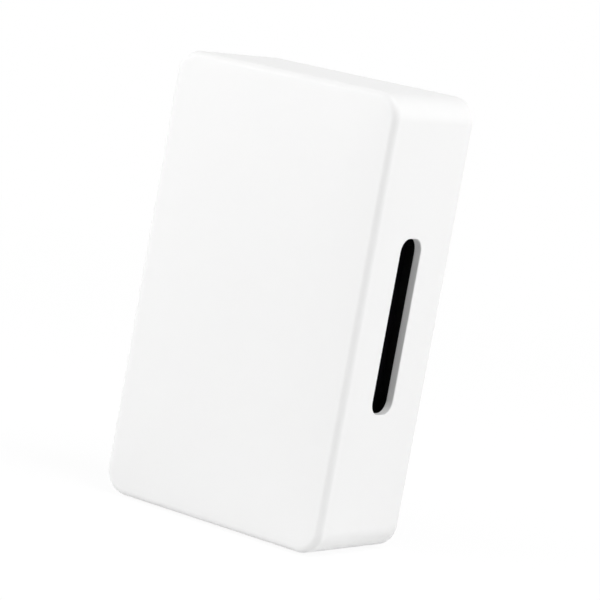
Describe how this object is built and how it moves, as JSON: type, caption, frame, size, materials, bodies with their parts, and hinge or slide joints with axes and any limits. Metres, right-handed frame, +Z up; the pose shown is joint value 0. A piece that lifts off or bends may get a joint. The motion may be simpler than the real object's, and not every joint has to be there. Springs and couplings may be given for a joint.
{
  "type": "doorbell chime",
  "caption": "Wall-mounted chime box of a wired video doorbell: a rounded box cover with a tall sound slot in each side, over solenoids that strike tone bars.",
  "frame": {"origin": "middle of the base plate's back face, which lies on the wall", "axes": "+X to the right as seen by someone facing the cover, +Y into the wall, +Z up"},
  "size_m": [0.097, 0.0506, 0.165],
  "materials": {
    "cover_plastic": "satin white moulded ABS",
    "base_plastic": "fine-textured black moulded ABS",
    "tone_bar_steel": "black oxide",
    "plated_steel": "bright zinc plate",
    "plunger_steel": "ground steel",
    "spring_steel": "drawn wire",
    "copper_wire": "enamelled copper wire",
    "nylon": "natural nylon",
    "rubber": "soft black rubber",
    "felt": "grey felt",
    "brass": "bright brass",
    "red_sleeve": "red wire insulation",
    "blue_sleeve": "blue wire insulation"
  },
  "bodies": {
    "base": {"base_plate": "base_plastic", "low_tone_bar": "tone_bar_steel", "low_bar_upper_grommet": "rubber", "low_bar_lower_grommet": "rubber", "low_bar_upper_screw": "plated_steel", "low_bar_lower_screw": "plated_steel", "high_tone_bar": "tone_bar_steel", "high_bar_upper_grommet": "rubber", "high_bar_lower_grommet": "rubber", "high_bar_upper_screw": "plated_steel", "high_bar_lower_screw": "plated_steel", "front_yoke": "plated_steel", "front_yoke_left_screw": "plated_steel", "front_yoke_right_screw": "plated_steel", "front_bobbin": "nylon", "front_winding": "copper_wire", "front_spring": "spring_steel", "rear_yoke": "plated_steel", "rear_yoke_left_screw": "plated_steel", "rear_yoke_right_screw": "plated_steel", "rear_bobbin": "nylon", "rear_winding": "copper_wire", "rear_spring": "spring_steel", "rear_stop_pad": "felt", "terminal_block": "base_plastic", "terminal_block_left_screw": "plated_steel", "terminal_block_right_screw": "plated_steel", "front_lug_plate": "brass", "trans_lug_plate": "brass", "rear_lug_plate": "brass", "front_coil_lead": "red_sleeve", "front_common_lead": "blue_sleeve", "rear_common_lead": "blue_sleeve", "rear_coil_lead": "red_sleeve"},
    "cover_shell": {"cover": "cover_plastic"},
    "front_striker": {"front_plunger": "plunger_steel", "front_strike_tip": "nylon", "front_return_tip": "nylon"},
    "rear_striker": {"rear_plunger": "plunger_steel", "rear_strike_tip": "nylon", "rear_return_tip": "nylon"},
    "front_clamp": {"front_clamp_washer": "plated_steel"},
    "front_screw": {"front_terminal_screw": "brass"},
    "trans_clamp": {"trans_clamp_washer": "plated_steel"},
    "trans_screw": {"trans_terminal_screw": "brass"},
    "rear_clamp": {"rear_clamp_washer": "plated_steel"},
    "rear_screw": {"rear_terminal_screw": "brass"}
  },
  "joints": [
    {"name": "cover_pull", "type": "slide", "parent": "base", "child": "cover_shell", "axis": [0, -1, 0], "range_m": [0, 0.06]},
    {"name": "front_strike", "type": "slide", "parent": "base", "child": "front_striker", "axis": [1, 0, 0], "range_m": [-0.0024, 0.0089], "stiffness_N_per_m": 60, "deforming": ["front_spring"]},
    {"name": "rear_strike", "type": "slide", "parent": "base", "child": "rear_striker", "axis": [1, 0, 0], "range_m": [0, 0.0089], "stiffness_N_per_m": 60, "deforming": ["rear_spring"]},
    {"name": "front_clamp_lift", "type": "slide", "parent": "base", "child": "front_clamp", "axis": [0, -1, 0], "range_m": [0, 0.0024]},
    {"name": "front_screw_turn", "type": "hinge", "parent": "front_clamp", "child": "front_screw", "pos_m": [-0.0135, -0.0135, 0.04977], "axis": [0, -1, 0], "range_deg": [0, 1080]},
    {"name": "trans_clamp_lift", "type": "slide", "parent": "base", "child": "trans_clamp", "axis": [0, -1, 0], "range_m": [0, 0.0024]},
    {"name": "trans_screw_turn", "type": "hinge", "parent": "trans_clamp", "child": "trans_screw", "pos_m": [0, -0.0135, 0.04977], "axis": [0, -1, 0], "range_deg": [0, 1080]},
    {"name": "rear_clamp_lift", "type": "slide", "parent": "base", "child": "rear_clamp", "axis": [0, -1, 0], "range_m": [0, 0.0024]},
    {"name": "rear_screw_turn", "type": "hinge", "parent": "rear_clamp", "child": "rear_screw", "pos_m": [0.0135, -0.0135, 0.04977], "axis": [0, -1, 0], "range_deg": [0, 1080]}
  ],
  "couplings": [
    {"joint": "front_screw_turn", "follows": "front_clamp_lift", "rad_per_m": 7854},
    {"joint": "trans_screw_turn", "follows": "trans_clamp_lift", "rad_per_m": 7854},
    {"joint": "rear_screw_turn", "follows": "rear_clamp_lift", "rad_per_m": 7854}
  ]
}
